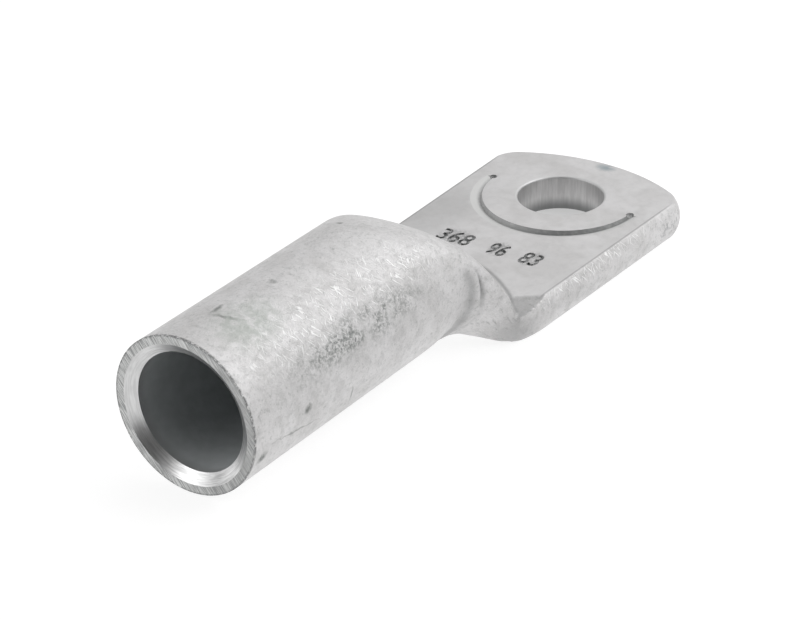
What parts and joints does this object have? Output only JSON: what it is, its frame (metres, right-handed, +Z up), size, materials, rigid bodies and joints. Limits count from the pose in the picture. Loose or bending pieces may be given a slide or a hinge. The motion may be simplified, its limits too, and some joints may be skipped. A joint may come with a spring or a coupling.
{
  "type": "cable lug",
  "caption": "Aluminium crimp lug made from round tube: a countersunk barrel for the conductor and a flat pressed palm with a stud hole.",
  "frame": {"origin": "on the stud hole's axis, in the plane of the palm's contact face, which is the face that the lug lies on", "axes": "+X from the barrel's mouth to the palm's tip, +Z up out of the palm along the stud hole, +Y to the left seen from the mouth"},
  "size_m": [0.104, 0.033, 0.0225],
  "materials": {
    "pickled_aluminium": "matt pale grey aluminium, pickled after pressing, with fine nicks and dark speckles on the barrel"
  },
  "bodies": {
    "root": {"cable_lug": "pickled_aluminium"}
  },
  "joints": []
}
